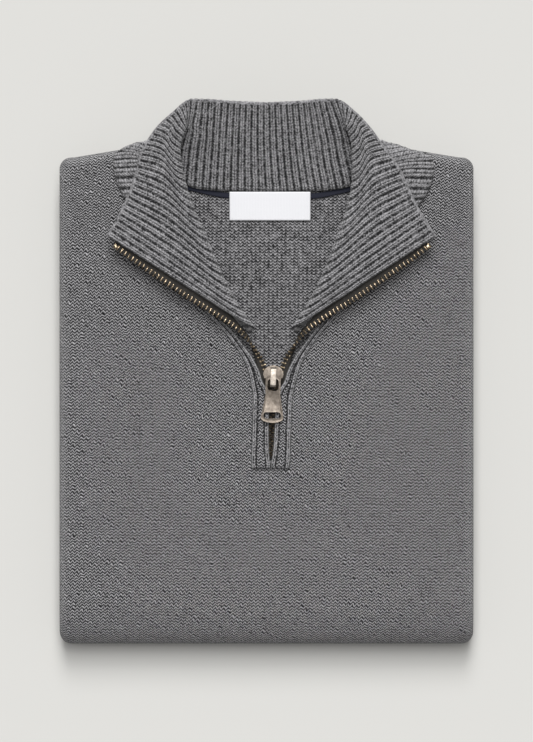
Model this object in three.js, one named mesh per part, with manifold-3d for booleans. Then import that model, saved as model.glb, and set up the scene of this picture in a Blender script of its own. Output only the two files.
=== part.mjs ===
// A quarter zip sweater, folded, front up, as it lies on a table. Millimetres, +Z up.
// +X is to the right of the wearer's front as seen from above, +Y is towards the shoulders.
import * as THREE from "three";
import { mergeVertices } from "three/addons/utils/BufferGeometryUtils.js";
import Module from "manifold-3d";

const wasm = await Module();
wasm.setup();

// Driving dimensions of the folded stack.
const WIDTH = 298.6;
const SHOULDER_Y = 154;
const BOTTOM_Y = -196.9;
const HEM_Y = 134;
const STACK = 36;
const SIDE_TURN = 8.5;
const FOLD_REACH = 30;
const WALL = 2;
const BACK_TOP = 31.4;
const BACK_BOTTOM = -172;
const GAP = 0.3;
const FLAP = 6;
const CROWN = 2;

// Collar: ribs from one zip edge round the back to the other.
const RIBS = 77;
const RIB_LOW = 0.9;
const RIB_HIGH = 1.7;
const COLLAR_UNDER = 1.3;

// The garment's middle line leans a little: its x at each y.
const MIDDLE = [
  { y: -70, x: 2.9 },
  { y: -33, x: 4.0 },
  { y: -1, x: 5.0 },
  { y: 60, x: 4.3 },
  { y: 95, x: 3.8 },
  { y: 118, x: 2.6 },
  { y: 133, x: 2.2 },
  { y: 160, x: 0.4 },
  { y: 200, x: 0 },
];

// Half the collar, from the middle of the back (rib 0) to the zip edge. Each line runs from the neck seam
// past the under side to the roll and then to the top edge, each as distance from the middle line, y and z.
// turn: how far it is turned over. bow: outward curve of the turned part. skew and slip: shift to the right
// of the edge and of the seam, on both sides alike. drop: how much lower the right side's underside lies.
const COLLAR = [
  { rib: 0, seam: [0, 129.6, 33.1], under: [0, 148, 38], roll: [0, 170, 44.5],
    edge: [0, 192.8, 50], turn: 0, bow: 0, skew: 0, slip: 0, drop: 0 },
  { rib: 6.25, seam: [32, 130, 33.1], under: [30, 149, 38.5], roll: [28, 171, 45.5],
    edge: [26, 193.9, 51.5], turn: 0, bow: 0, skew: -0.5, slip: 0, drop: 0 },
  { rib: 10, seam: [51, 131.5, 33.2], under: [48, 153, 40.5], roll: [45, 175, 49],
    edge: [42, 195, 55], turn: 0, bow: 0, skew: -2, slip: 0, drop: 0 },
  { rib: 12.5, seam: [65, 136.5, 33.4], under: [61.5, 159, 43.5], roll: [56, 179, 55],
    edge: [52, 195, 58.5], turn: 0.15, bow: 0, skew: -2, slip: 0, drop: 0 },
  { rib: 16, seam: [78, 142, 33.8], under: [78, 164, 46], roll: [59, 173, 60],
    edge: [65.2, 185.5, 55.5], turn: 0.8, bow: 0.5, skew: -1.8, slip: 0.5, drop: 0 },
  { rib: 19.3, seam: [93, 149.5, 34.5], under: [93, 163.5, 45], roll: [62.5, 160, 60],
    edge: [76.5, 174.5, 53], turn: 1, bow: 2.5, skew: -2.5, slip: 2, drop: 2 },
  { rib: 22.3, seam: [112.5, 158.5, 37.2], under: [101, 160, 45.3], roll: [62, 146, 59.5],
    edge: [84.5, 163.5, 52], turn: 1, bow: 4, skew: -2.5, slip: 4, drop: 3.5 },
  { rib: 25, seam: [115, 146, 38.3], under: [92, 146, 46], roll: [60, 132.5, 58.5],
    edge: [90.5, 154, 51], turn: 1, bow: 5, skew: -1.5, slip: 4, drop: 1.5 },
  { rib: 27.3, seam: [110, 129, 38.3], under: [84, 128, 46], roll: [55.5, 116, 57.5],
    edge: [95, 143.5, 50.5], turn: 1, bow: 4.5, skew: 0, slip: 3.3, drop: 0 },
  { rib: 29.9, seam: [96, 111, 38.3], under: [72, 106, 45.5], roll: [48, 97, 56.5],
    edge: [99.5, 132.5, 50.2], turn: 1, bow: 4, skew: 0, slip: 2.5, drop: 0 },
  { rib: 32.4, seam: [69, 88, 38.3], under: [53, 83, 44.8], roll: [40, 76.5, 55],
    edge: [104.5, 121.5, 50.1], turn: 1, bow: 3, skew: 0, slip: 1.2, drop: 0 },
  { rib: 34.9, seam: [46, 62, 38.3], under: [38, 59, 44.3], roll: [30.5, 56, 53.5],
    edge: [109.5, 111.5, 50.2], turn: 1, bow: 1.5, skew: 0, slip: 0.3, drop: 0 },
  { rib: 36.8, seam: [32, 43, 38.5], under: [27, 42, 43.5], roll: [21.5, 41, 51.5],
    edge: [114, 104, 50.3], turn: 0.8, bow: 0.5, skew: 0, slip: 0, drop: 0 },
  { rib: 38.5, seam: [16.5, 28.5, 39.8], under: [15, 29, 43.3], roll: [13.5, 30, 48.6],
    edge: [118.5, 97, 50.3], turn: 0.4, bow: 0, skew: 0, slip: 0, drop: 0 },
];

// Half the zip: the line of the corded edge, which way its teeth point (0 to the middle, 90 up, 180 outwards),
// and how wide the tape is behind it.
const ZIP = [
  { across: 1.3, y: -63, z: 35.5, facing: 0, tape: 7.5 },
  { across: 1.3, y: -40, z: 35.5, facing: 0, tape: 7.5 },
  { across: 1.3, y: -16, z: 35.5, facing: 0, tape: 7.5 },
  { across: 2.4, y: -8, z: 35.5, facing: 0, tape: 7.5 },
  { across: 5, y: -1, z: 35.6, facing: 0, tape: 6 },
  { across: 7.4, y: 6, z: 36.1, facing: 10, tape: 5 },
  { across: 11, y: 12.5, z: 37.6, facing: 45, tape: 4 },
  { across: 15.5, y: 19, z: 40.4, facing: 90, tape: 3.8 },
  { across: 20.5, y: 25.3, z: 43.3, facing: 130, tape: 3.2 },
  { across: 27, y: 31.5, z: 45.9, facing: 165, tape: 3.6 },
  { across: 41, y: 40.8, z: 46.8, facing: 180, tape: 8 },
  { across: 57.5, y: 51, z: 47.4, facing: 182, tape: 8.5 },
  { across: 76, y: 63.4, z: 47.7, facing: 182, tape: 8.5 },
  { across: 95.7, y: 77, z: 47.6, facing: 182, tape: 8 },
  { across: 113.6, y: 90.4, z: 47.3, facing: 182, tape: 6 },
];

// Half the placket band: its edge beside the zip and its outer edge.
const PLACKET = [
  { y: -63.6, inner: 2.4, outer: 14 },
  { y: -40, inner: 2.4, outer: 14 },
  { y: -19, inner: 2.5, outer: 14.2 },
  { y: -14, inner: 4, outer: 15 },
  { y: -8, inner: 7.6, outer: 16.4 },
  { y: 0.2, inner: 10.3, outer: 18.4 },
  { y: 10, inner: 15.5, outer: 22.6 },
  { y: 19, inner: 22, outer: 28.4 },
  { y: 27, inner: 28, outer: 34.4 },
  { y: 36, inner: 36.5, outer: 42.5 },
  { y: 44, inner: 45, outer: 49.5 },
];
const PLACKET_BOTTOM = -70;
const PLACKET_Z = 36.3;
const PLACKET_WALL = 1.8;
const RIDGE_WIDTH = 3.2;
const RIDGE_HEIGHT = 0.8;

// Half the opening cut in the front under the collar and placket.
const FRONT_CUT = [
  { y: -64.5, across: 9.6 },
  { y: -19, across: 9.8 },
  { y: -8, across: 12 },
  { y: 0, across: 14.5 },
  { y: 10, across: 18.8 },
  { y: 19, across: 24 },
  { y: 27, across: 26 },
  { y: 36, across: 27.5 },
  { y: 44, across: 30 },
  { y: 62, across: 42 },
  { y: 88, across: 62.5 },
  { y: 111, across: 88 },
  { y: 129, across: 103 },
  { y: 146, across: 107 },
  { y: 157, across: 107 },
  { y: 175, across: 106 },
];

// Half the neck edge of the back panel, which passes under the collar's seam.
const BACK_CUT = [
  { across: 0, y: 134 },
  { across: 32, y: 134.5 },
  { across: 51, y: 136 },
  { across: 62, y: 140 },
  { across: 75, y: 145 },
  { across: 88, y: 149 },
  { across: 98, y: 150.4 },
];

const smooth = (a, b, v) => {
  const t = Math.min(1, Math.max(0, (v - a) / (b - a)));
  return t * t * (3 - 2 * t);
};

// A smooth value between table rows that never goes past the rows either side.
function along(xs, ys, x) {
  const n = xs.length;
  if (x <= xs[0]) return ys[0];
  if (x >= xs[n - 1]) return ys[n - 1];
  let i = 0;
  while (x > xs[i + 1]) i++;
  const slope = (k) => (ys[k + 1] - ys[k]) / (xs[k + 1] - xs[k]);
  const tangent = (k) => {
    if (k === 0) return slope(0);
    if (k === n - 1) return slope(n - 2);
    const a = slope(k - 1);
    const b = slope(k);
    if (a * b <= 0) return 0;
    const ha = xs[k] - xs[k - 1];
    const hb = xs[k + 1] - xs[k];
    return (3 * (ha + hb)) / ((2 * hb + ha) / a + (hb + 2 * ha) / b);
  };
  const h = xs[i + 1] - xs[i];
  const t = (x - xs[i]) / h;
  const t2 = t * t;
  const t3 = t2 * t;
  return (
    (2 * t3 - 3 * t2 + 1) * ys[i] +
    (t3 - 2 * t2 + t) * h * tangent(i) +
    (3 * t2 - 2 * t3) * ys[i + 1] +
    (t3 - t2) * h * tangent(i + 1)
  );
}

const column = (table, key, x, value) =>
  along(table.map((r) => r[key]), table.map(value), x);
const middle = (y) => column(MIDDLE, "y", y, (r) => r.x);

// The folded layers lie a little higher in the middle than at the edges.
function crown(x, y) {
  const cx = Math.max(0, 1 - (x / 150) ** 2);
  const cy = Math.max(0, 1 - ((y + 20) / 180) ** 2);
  return CROWN * cx * cy;
}
const lifted = (p) => {
  const z = p[2] + crown(p[0], p[1]) * smooth(18, 30, p[2]);
  return [p[0], p[1], z];
};

// The point a share u of the way along a smooth line through the points given.
function through(points, u) {
  const n = points.length - 1;
  const at = Math.min(n - 1e-9, Math.max(0, u * n));
  const i = Math.floor(at);
  const t = at - i;
  const p1 = points[i];
  const p2 = points[i + 1];
  const p0 = i > 0 ? points[i - 1] : p1.map((v, k) => 2 * v - p2[k]);
  const p3 = i + 2 <= n ? points[i + 2] : p2.map((v, k) => 2 * v - p1[k]);
  const span = (a, b) => Math.sqrt(Math.hypot(a[0] - b[0], a[1] - b[1], a[2] - b[2]));
  const d0 = span(p0, p1);
  const d1 = span(p1, p2);
  const d2 = span(p2, p3);
  return p1.map((v, k) => {
    const a = ((v - p0[k]) / d0 - (p2[k] - p0[k]) / (d0 + d1) + (p2[k] - v) / d1) * d1;
    const b = ((p2[k] - v) / d1 - (p3[k] - v) / (d1 + d2) + (p3[k] - p2[k]) / d2) * d1;
    const t2 = t * t;
    const t3 = t2 * t;
    return (2 * t3 - 3 * t2 + 1) * v + (t3 - 2 * t2 + t) * a + (3 * t2 - 2 * t3) * p2[k] + (t3 - t2) * b;
  });
}

// A closed mesh between an upper grid and a lower grid of points. The lower grid may have fewer columns.
function between(upper, lower, columns) {
  const rows = upper.length;
  const cols = upper[0].length;
  const cols2 = columns.length;
  const points = [...upper.flat(), ...lower.flat()];
  const base = rows * cols;
  const up = (i, j) => i * cols + j;
  const down = (i, j) => base + i * cols2 + j;
  const faces = [];
  const quad = (a, b, c, d) => faces.push([a, b, c], [a, c, d]);
  for (let i = 0; i < rows - 1; i++) {
    for (let j = 0; j < cols - 1; j++) quad(up(i, j), up(i, j + 1), up(i + 1, j + 1), up(i + 1, j));
    for (let j = 0; j < cols2 - 1; j++) quad(down(i, j), down(i + 1, j), down(i + 1, j + 1), down(i, j + 1));
    quad(up(i, 0), up(i + 1, 0), down(i + 1, 0), down(i, 0));
    quad(up(i, cols - 1), down(i, cols2 - 1), down(i + 1, cols2 - 1), up(i + 1, cols - 1));
  }
  for (let j = 0; j < cols2 - 1; j++) {
    const from = columns[j];
    const to = columns[j + 1];
    const half = Math.floor((from + to) / 2);
    for (const [row, turn] of [[0, false], [rows - 1, true]]) {
      const strip = [];
      for (let k = from; k < to; k++) {
        strip.push([up(row, k), down(row, k < half ? j : j + 1), up(row, k + 1)]);
        if (k === half) strip.push([up(row, k), down(row, j), down(row, j + 1)]);
      }
      for (const f of strip) faces.push(turn ? [f[0], f[2], f[1]] : f);
    }
  }
  const g = new THREE.BufferGeometry();
  g.setAttribute("position", new THREE.Float32BufferAttribute(points.flat(), 3));
  g.setIndex(faces.flat());
  return g;
}

function solid(geometry) {
  const g = geometry.clone();
  g.deleteAttribute("normal");
  g.deleteAttribute("uv");
  const merged = mergeVertices(g, 1e-3);
  return new wasm.Manifold(
    new wasm.Mesh({
      numProp: 3,
      vertProperties: merged.attributes.position.array,
      triVerts: new Uint32Array(merged.index.array),
    }),
  );
}

function geometryOf(made) {
  const m = made.getMesh();
  const g = new THREE.BufferGeometry();
  g.setAttribute("position", new THREE.BufferAttribute(new Float32Array(m.vertProperties), 3));
  g.setIndex(new THREE.BufferAttribute(new Uint32Array(m.triVerts), 1));
  return g;
}

// A flat plate of that outline, from z low to high.
function plate(outline, low, high) {
  const section = new wasm.CrossSection([outline], "NonZero");
  return section.extrude(high - low).translate([0, 0, low]);
}

// A symmetric outline about the leaning middle line, from the half table's points.
function mirrored(half) {
  const right = half.map(([a, y]) => [middle(y) + a, y]);
  const left = half.map(([a, y]) => [middle(y) - a, y]).reverse();
  return [...right, ...left];
}

const lift = (made) => made.warp((v) => {
  const q = lifted(v);
  v[0] = q[0];
  v[1] = q[1];
  v[2] = q[2];
});

// Where a point of the front is: across and down are distances over the cloth from its middle,
// deep is how far under the outer surface.
const SIDE_START = WIDTH / 2 - SIDE_TURN;
const TOP_START = SHOULDER_Y - SIDE_TURN;
const FOLD_Y = BOTTOM_Y + FOLD_REACH;
const TURN_LENGTH = Math.PI * SIDE_TURN;

function frontPoint(across, y, past, deep) {
  const side = Math.sign(across);
  const over = Math.max(0, Math.abs(across) - SIDE_START);
  const p = Math.max(over, past);
  const angle = Math.min(Math.PI, p / SIDE_TURN);
  const r = SIDE_TURN - deep;
  const flat = Math.max(0, p - TURN_LENGTH);
  const reach = r * Math.sin(angle) - flat;
  const depth = SIDE_TURN - r * Math.cos(angle);
  const dir = Math.atan2(past, over);
  let x = side * Math.min(Math.abs(across), SIDE_START);
  if (over > 0) x += side * reach * Math.cos(dir);
  return { x, push: past > 0 ? reach * Math.sin(dir) : 0, depth: p > 0 ? depth : deep };
}

// The station table along the front: over the shoulder, down the top, round the bottom fold, under to the hem.
function frontStations() {
  const made = [];
  for (const a of [95, 65, 35]) made.push({ past: (a * Math.PI * SIDE_TURN) / 180, y: TOP_START, bend: 0 });
  const tops = [TOP_START, 122, 98, 74, 50, 26, 2, -24, -52, -82, -112, -144, FOLD_Y];
  for (const y of tops) made.push({ past: 0, y, bend: 0 });
  for (let k = 1; k <= 9; k++) made.push({ past: 0, y: FOLD_Y, bend: (k * Math.PI) / 9 });
  for (const y of [-100, 0, 100, HEM_Y]) made.push({ past: 0, y, bend: Math.PI });
  return made;
}
function frontAcross() {
  const half = [0, 24, 48, 72, 96, 120, SIDE_START];
  for (let k = 1; k <= 6; k++) half.push(SIDE_START + (k * TURN_LENGTH) / 6);
  half.push(SIDE_START + TURN_LENGTH + FLAP);
  return [...half.slice(1).reverse().map((v) => -v), ...half];
}

// The shoulder line rises towards the neck.
const shoulderRise = (x) => 0.167 * Math.max(0, Math.min(34, 139 - Math.abs(x)));

function frontGrid(deep) {
  return frontStations().map((s) =>
    frontAcross().map((a) => {
      const q = frontPoint(a, s.y, s.past, deep);
      let y = s.y + q.push;
      let z = STACK - q.depth;
      if (s.bend > 0) {
        y = FOLD_Y - (FOLD_REACH - q.depth) * Math.sin(s.bend);
        z = STACK / 2 + (STACK / 2 - q.depth) * Math.cos(s.bend);
        if (s.bend === Math.PI) y = s.y;
      } else if (s.bend === 0) {
        y += shoulderRise(q.x) * smooth(90, TOP_START, s.y);
      }
      return lifted([q.x, y, z]);
    }),
  );
}

function makeFront() {
  const outer = frontGrid(0);
  const inner = frontGrid(WALL);
  const every = outer[0].map((v, j) => j);
  const g = between(outer, inner, every);
  let body = solid(g);
  if (body.volume() < 0) body = solid(between(inner, outer, every));
  const cut = plate(mirrored(FRONT_CUT.map((r) => [r.across, r.y])), 18.2, 60);
  return body.subtract(cut);
}

function makeBack() {
  const xs = [-144, -125, -105, -98, -88, -75, -62, -51, -32, 0, 32, 51, 62, 75, 88, 98, 105, 125, 144];
  const top = (x) => {
    const a = Math.abs(x);
    return a > 98 ? 150.4 - 0.035 * (a - 98) : column(BACK_CUT, "across", a, (r) => r.y);
  };
  const shares = [0, 0.1, 0.22, 0.34, 0.46, 0.58, 0.7, 0.8, 0.9, 1];
  const grid = (z) => shares.map((s) => xs.map((x) => {
    const y = BACK_BOTTOM + s * (top(x) - BACK_BOTTOM);
    return lifted([x, y, z]);
  }));
  return solid(between(grid(BACK_TOP), grid(BACK_TOP - WALL), xs.map((x, j) => j)));
}

// A slab with a rounded rim.
function slab(halfX, y0, y1, low, high, corner) {
  const r = (high - low) / 2;
  const mid = (high + low) / 2;
  const discs = [];
  for (const [sx, sy] of [[-1, -1], [1, -1], [1, 1], [-1, 1]]) {
    const cx = sx * (halfX - corner);
    const cy = sy < 0 ? y0 + corner : y1 - corner;
    for (const [inset, z] of [[r * 0.6, -1], [r * 0.13, -0.5], [0, 0], [r * 0.13, 0.5], [r * 0.6, 1]]) {
      const disc = wasm.Manifold.cylinder(0.05, corner - inset, corner - inset, 12, true);
      discs.push(disc.translate([cx, cy, mid + z * (r - 0.03)]));
    }
  }
  return wasm.Manifold.hull(discs);
}

function makeHidden() {
  const lowest = WALL + GAP;
  const under = BACK_TOP - WALL - GAP;
  const parts = [
    slab(144.2, -170, 144, 21.7, under, 9),
    slab(132, -184, 147.5, 15, 21, 8),
    slab(144.2, -170, 139, 8.7, 14, 9),
    slab(143.4, -170, 143, lowest + 0.2, 8.3, 9),
    wasm.Manifold.cube([260, 290, under - lowest], true).translate([0, -20, (under + lowest) / 2]),
  ];
  const middleOfFold = [0, FOLD_Y - 9.5, STACK / 2];
  const round = wasm.Manifold.cylinder(262, 13.4, 13.4, 28, true).rotate([0, 90, 0]).translate(middleOfFold);
  const near = wasm.Manifold.cube([280, 40, 40], true).translate([0, FOLD_Y - 29.5, STACK / 2]);
  const half = round.intersect(near);
  return wasm.Manifold.union([...parts, half]);
}

// The line of the collar at one rib, from neck seam to top edge.
function collarLine(rib) {
  const side = Math.sign(rib) || 1;
  const a = Math.abs(rib);
  const pick = (key, k) => column(COLLAR, "rib", a, (r) => r[key][k]);
  const value = (key) => column(COLLAR, "rib", a, (r) => r[key]);
  const seam = [0, 1, 2].map((k) => pick("seam", k));
  const under = [0, 1, 2].map((k) => pick("under", k));
  const roll = [0, 1, 2].map((k) => pick("roll", k));
  const edge = [0, 1, 2].map((k) => pick("edge", k));
  const turn = value("turn");
  const bow = value("bow");
  const step = 5;
  const toward = (from, to) => {
    const dx = to[0] - from[0];
    const dy = to[1] - from[1];
    const d = Math.hypot(dx, dy) || 1;
    const s = Math.min(step, d * 0.4);
    return [from[0] + (dx / d) * s, from[1] + (dy / d) * s, from[2] + ((to[2] - from[2]) * s) / d];
  };
  const fold = 9 * turn;
  const lower = toward(roll, under);
  lower[2] = lower[2] * (1 - turn) + (roll[2] - fold) * turn;
  const crest = toward(roll, edge);
  crest[2] = crest[2] * (1 - turn) + roll[2] * turn;
  const turned = [roll[0], roll[1], roll[2] - fold / 2];
  const dx = edge[0] - crest[0];
  const dy = edge[1] - crest[1];
  const d = Math.hypot(dx, dy) || 1;
  const mid = [
    (edge[0] + crest[0]) / 2 - (dy / d) * bow,
    (edge[1] + crest[1]) / 2 + (dx / d) * bow,
    crest[2] + (edge[2] - crest[2]) * 0.4 + 0.6 * turn,
  ];
  const points = [seam, under, lower, turned, crest, mid, edge];
  const shares = [0, 0, 0, 0.3, 0.4, 0.7, 1];
  const seamShares = [1, 0.6, 0, 0, 0, 0, 0];
  const dropShares = [0.3, 1, 0, 0, 0, 0, 0];
  const skew = value("skew");
  const slip = value("slip");
  const drop = side > 0 ? value("drop") : 0;
  return points.map((p, k) => {
    const shift = skew * shares[k] + slip * seamShares[k];
    return [middle(p[1]) + side * p[0] + shift, p[1] - drop * dropShares[k], p[2]];
  });
}

const COLLAR_ROWS = [0, 0.09, 0.18, 0.27, 0.34, 0.4, 0.46, 0.5, 0.54, 0.6, 0.67, 0.76, 0.88, 1];

function collarSurface(rib, u) {
  return lifted(through(collarLine(rib), u));
}

function collarNormal(rib, u) {
  const e = 0.02;
  const a = collarSurface(Math.max(-RIBS / 2, rib - 0.25), u);
  const b = collarSurface(Math.min(RIBS / 2, rib + 0.25), u);
  const c = collarSurface(rib, Math.max(0, u - e));
  const d = collarSurface(rib, Math.min(1, u + e));
  const acr = new THREE.Vector3(b[0] - a[0], b[1] - a[1], b[2] - a[2]);
  const alo = new THREE.Vector3(d[0] - c[0], d[1] - c[1], d[2] - c[2]);
  return acr.cross(alo).normalize();
}

function makeCollar() {
  const last = RIBS * 2;
  const at = (j) => -RIBS / 2 + j / 2;
  const offset = (j, u, h) => {
    const p = collarSurface(at(j), u);
    const n = collarNormal(at(j), u);
    return [p[0] + n.x * h, p[1] + n.y * h, p[2] + n.z * h];
  };
  const raised = (j, u) => (j % 2 ? RIB_LOW + (RIB_HIGH - RIB_LOW) * smooth(0, 0.06, u) : RIB_LOW);
  const upper = COLLAR_ROWS.map((u) => {
    const row = [];
    for (let j = 0; j <= last; j++) row.push(offset(j, u, raised(j, u)));
    return row;
  });
  const columns = [];
  for (let j = 0; j < last; j += 4) columns.push(j);
  columns.push(last);
  const lower = COLLAR_ROWS.map((u) => columns.map((j) => offset(j, u, -COLLAR_UNDER)));
  return solid(between(upper, lower, columns));
}

function makePlacket() {
  const rows = PLACKET;
  const bottom = PLACKET_BOTTOM;
  const outline = (outer, inner) => {
    const m = (a, y) => [middle(y) + a, y];
    const right = rows.map((r) => m(outer(r), r.y));
    const rightIn = rows.map((r) => m(inner(r), r.y)).reverse();
    const leftIn = rows.map((r) => m(-inner(r), r.y));
    const left = rows.map((r) => m(-outer(r), r.y)).reverse();
    const wide = outer(rows[0]);
    const foot = [m(-wide + 1.5, bottom), m(wide - 1.5, bottom), m(wide, bottom + 1.5)];
    return [...foot, ...right, ...rightIn, ...leftIn, ...left, m(-wide, bottom + 1.5)];
  };
  const band = plate(outline((r) => r.outer, (r) => r.inner), PLACKET_Z, PLACKET_Z + PLACKET_WALL);
  const strip = (side) => {
    const inside = rows.map((r) => [middle(r.y) + side * (r.inner + 0.5), r.y]);
    const outside = rows.map((r) => [middle(r.y) + side * (r.inner + 0.5 + RIDGE_WIDTH), r.y]).reverse();
    const ring = side > 0 ? [...inside, ...outside].reverse() : [...inside, ...outside];
    return plate(ring, PLACKET_Z + 0.5, PLACKET_Z + PLACKET_WALL + RIDGE_HEIGHT);
  };
  const all = wasm.Manifold.union([band, strip(1), strip(-1)]);
  return lift(all);
}

// One half of the zip's tape, a strip with a cord along its edge.
function makeTape(side) {
  const rows = [];
  for (let k = 0; k < ZIP.length - 1; k++) {
    const length = Math.hypot(ZIP[k + 1].across - ZIP[k].across, ZIP[k + 1].y - ZIP[k].y);
    const parts = Math.max(1, Math.round(length / 12));
    for (let s = 0; s < parts; s++) rows.push(k + s / parts);
  }
  rows.push(ZIP.length - 1);
  const index = ZIP.map((r, k) => k);
  const value = (key, t) => along(index, ZIP.map((r) => r[key]), t);
  const place = (t) => {
    const y = value("y", t);
    return new THREE.Vector3(middle(y) + side * value("across", t), y, value("z", t));
  };
  const grid = rows.map((t) => {
    const p = place(t);
    const ahead = place(Math.min(ZIP.length - 1, t + 0.05));
    const behind = place(Math.max(0, t - 0.05));
    const tangent = ahead.sub(behind).normalize();
    const out = new THREE.Vector3(side * tangent.y, -side * tangent.x, 0).normalize();
    const facing = (value("facing", t) * Math.PI) / 180;
    const w = out.clone().multiplyScalar(-Math.cos(facing)).add(new THREE.Vector3(0, 0, Math.sin(facing)));
    w.addScaledVector(tangent, -w.dot(tangent)).normalize();
    const n = new THREE.Vector3().crossVectors(w, tangent).multiplyScalar(side).normalize();
    const tape = value("tape", t);
    const section = [
      [0.7, 0.55], [0.7, -0.55], [-0.6, -0.9], [-1, -0.45],
      [-tape, -0.45], [-tape, 0.45], [-1, 0.45], [-0.6, 0.9],
    ];
    return section.map(([a, b]) => {
      const q = p.clone().addScaledVector(w, a).addScaledVector(n, b);
      return lifted([q.x, q.y, q.z]);
    });
  });
  const points = grid.flat();
  const m = grid[0].length;
  const faces = [];
  for (let i = 0; i < grid.length - 1; i++) {
    for (let j = 0; j < m; j++) {
      const a = i * m + j;
      const b = i * m + ((j + 1) % m);
      faces.push([a, b, b + m], [a, b + m, a + m]);
    }
  }
  const endFaces = [[0, 1, 2], [0, 2, 7], [7, 2, 3], [7, 3, 6], [6, 3, 4], [6, 4, 5]];
  for (const f of endFaces) faces.push([f[0], f[2], f[1]]);
  const base = (grid.length - 1) * m;
  for (const f of endFaces) faces.push([base + f[0], base + f[1], base + f[2]]);
  const g = new THREE.BufferGeometry();
  g.setAttribute("position", new THREE.Float32BufferAttribute(points.flat(), 3));
  g.setIndex(faces.flat());
  let made = solid(g);
  if (made.volume() < 0) {
    g.setIndex(faces.map((f) => [f[0], f[2], f[1]]).flat());
    made = solid(g);
  }
  return made;
}

// Slider, bail and pull tab, in their own upright frame about the slider's middle.
const SLIDER = { x: 5, y: -1.4, half: 7.35, top: 5.4, foot: -10.6, footHalf: 4.3 };
const LOW_PLATE = [32.6, 33.7];
const TOP_PLATE = [38.5, 39.9];
const BAIL = { half: 2.05, from: 2.9, to: -11.8, inside: 42.9, outside: 44.8, leg: 1.9 };
const HINGE = { y: -4.7, z: 41.35, bar: 0.8 };
const TAB = { ring: 5.4, hole: 4.1, ringEnd: -15.6, holeEnd: -14.4, neck: 5.1, wide: 8.2, thick: 1.5 };
const METAL_LIFT = crown(SLIDER.x, SLIDER.y);
const LEAN = 1.7;

function makeSlider() {
  const c = SLIDER;
  const shield = [];
  for (let k = 0; k <= 10; k++) {
    const a = (k * Math.PI) / 10;
    shield.push([c.half * Math.cos(a), -1.2 + (c.top + 1.2) * Math.sin(a)]);
  }
  shield.push([-c.footHalf - 0.6, -8.6], [-c.footHalf, c.foot], [c.footHalf, c.foot], [c.footHalf + 0.6, -8.6]);
  const top = plate(shield, ...TOP_PLATE);
  const low = plate(shield.map(([x, y]) => [x * 0.96, y * 0.96]), ...LOW_PLATE);
  const wedge = [[-1.5, 0.6], [0, -1.2], [1.5, 0.6], [1.1, 4.6], [-1.1, 4.6]];
  const post = plate(wedge, LOW_PLATE[0] + 0.2, TOP_PLATE[0] + 0.2);
  const y = (v) => v - c.y;
  const back = y(BAIL.from);
  const front = y(BAIL.to);
  const [base, seat] = TOP_PLATE;
  const { leg, inside, outside } = BAIL;
  const bailOut = [
    [back, base + 0.4], [front + 1.6, base + 0.4], [front, seat + 1.2], [front + 0.2, outside - 1.3],
    [front + 1.6, outside], [back - 1.6, outside], [back - 0.1, outside - 1.3],
  ];
  const bailIn = [
    [back - leg, seat + 0.05], [front + leg, seat + 0.05], [front + leg, inside - 0.7],
    [front + leg + 0.8, inside], [back - leg - 0.8, inside], [back - leg, inside - 0.7],
  ];
  const stand = (ring, half) => {
    const made = new wasm.CrossSection([ring], "NonZero").extrude(half * 2);
    return made.translate([0, 0, -half]).rotate([90, 0, 0]).rotate([0, 0, 90]);
  };
  const bail = stand(bailOut, BAIL.half).subtract(stand(bailIn, BAIL.half + 1));
  return wasm.Manifold.union([top, low, post, bail]);
}

function makeTab() {
  const t = TAB;
  const y = (v) => v - HINGE.y;
  const bar = HINGE.bar;
  const r = 1.6;
  const outline = [
    [t.ring - r, bar], [t.ring - 0.5, bar - 0.5], [t.ring, bar - r],
    [t.ring, y(t.ringEnd)], [t.neck + 0.1, y(t.ringEnd) - 1], [t.wide, y(-33.6)],
  ];
  const curve = [];
  for (let k = 1; k < 8; k++) {
    const a = (k * Math.PI) / 8;
    curve.push([t.wide * Math.cos(a), y(-33.9) - 3.4 * Math.sin(a)]);
  }
  const left = outline.slice().reverse().map(([x, v]) => [-x, v]);
  const ring = [...outline, ...curve, ...left].reverse();
  let made = plate(ring, -t.thick / 2, t.thick / 2);
  const hole = [];
  for (let k = 0; k < 16; k++) {
    const a = (k * Math.PI * 2) / 16;
    const c = Math.cos(a);
    const s = Math.sin(a);
    const px = Math.sign(c) * Math.abs(c) ** 0.6 * t.hole;
    const top = -bar;
    const end = y(t.holeEnd);
    hole.push([px, (top + end) / 2 + Math.sign(s) * Math.abs(s) ** 0.6 * ((top - end) / 2)]);
  }
  made = made.subtract(plate(hole, -5, 5));
  const slot = [];
  const slotHalf = 6.3;
  const slotY = y(-31.9);
  for (let k = 0; k < 12; k++) {
    const a = (k * Math.PI * 2) / 12;
    const c = Math.cos(a);
    const s = Math.sin(a);
    slot.push([Math.sign(c) * (slotHalf - 2.4) + 2.4 * c, slotY + 2.4 * s]);
  }
  return made.subtract(plate(slot, -5, 5));
}

const TAB_TILT = 2.2;
const slider = makeSlider()
  .rotate([0, 0, -LEAN])
  .translate([SLIDER.x, SLIDER.y, METAL_LIFT]);
const tab = makeTab()
  .rotate([TAB_TILT, 0, 0])
  .translate([0, HINGE.y - SLIDER.y, HINGE.z])
  .rotate([0, 0, -LEAN])
  .translate([SLIDER.x, SLIDER.y, METAL_LIFT]);

// The dark tape over the back neck seam.
function makeNeckTape() {
  const xs = [-57.3, -48, -38, -27.1, -14, 2.5, 17, 32, 42, 52, 62.2];
  const y = (x) => along([-57.3, -27.1, 2.5, 32, 62.2], [131.8, 125.9, 124.9, 125.5, 131], x);
  const grid = (z) => [-1.45, 1.45].map((s) => xs.map((x) => lifted([x, y(x) + s, z])));
  return solid(between(grid(BACK_TOP + GAP + 0.9), grid(BACK_TOP + GAP), xs.map((x, j) => j)));
}

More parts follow.
